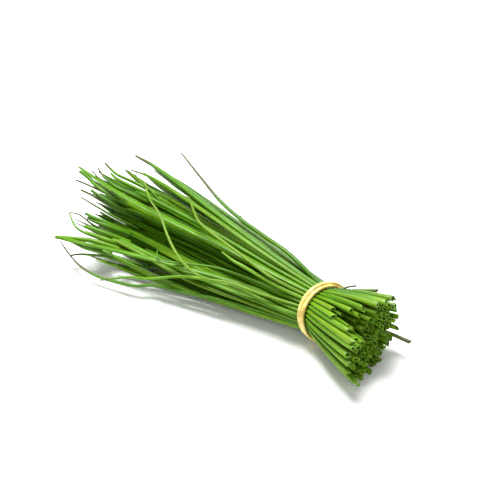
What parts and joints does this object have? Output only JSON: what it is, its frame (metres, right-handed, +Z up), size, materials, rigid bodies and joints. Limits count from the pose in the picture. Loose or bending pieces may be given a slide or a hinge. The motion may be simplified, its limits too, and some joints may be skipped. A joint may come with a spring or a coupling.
{
  "type": "bunch of fresh chives",
  "caption": "Cut chives tied near their cut ends with a doubled rubber band, lying on their side and fanning out to their tips",
  "frame": {"origin": "middle of the bottom of the bounding box, on the surface that the bunch lies on", "axes": "+X along the blades towards the cut ends, +Z up from the surface, +Y to the bunch's back"},
  "size_m": [0.2478, 0.0996, 0.0535],
  "materials": {
    "leaf": "satin",
    "inner_leaf": "satin",
    "rubber_band": "matte"
  },
  "bodies": {
    "root": {"inner_blades": "inner_leaf", "outer_blade_01": "leaf", "outer_blade_02": "leaf", "outer_blade_03": "leaf", "outer_blade_04": "leaf", "outer_blade_05": "leaf", "outer_blade_06": "leaf", "outer_blade_07": "leaf", "outer_blade_08": "leaf", "outer_blade_09": "leaf", "outer_blade_10": "leaf", "outer_blade_11": "leaf", "outer_blade_12": "leaf", "outer_blade_13": "leaf", "outer_blade_14": "leaf", "outer_blade_15": "leaf", "outer_blade_16": "leaf", "outer_blade_17": "leaf", "outer_blade_18": "leaf", "outer_blade_19": "leaf", "outer_blade_20": "leaf", "outer_blade_21": "leaf", "outer_blade_22": "leaf", "outer_blade_23": "leaf", "outer_blade_24": "leaf", "outer_blade_25": "leaf", "outer_blade_26": "leaf", "outer_blade_27": "leaf", "outer_blade_28": "leaf", "outer_blade_29": "leaf", "outer_blade_30": "leaf", "outer_blade_31": "leaf", "outer_blade_32": "leaf", "outer_blade_33": "leaf", "outer_blade_34": "leaf", "outer_blade_35": "leaf", "outer_blade_36": "leaf", "rubber_band": "rubber_band"}
  },
  "joints": []
}
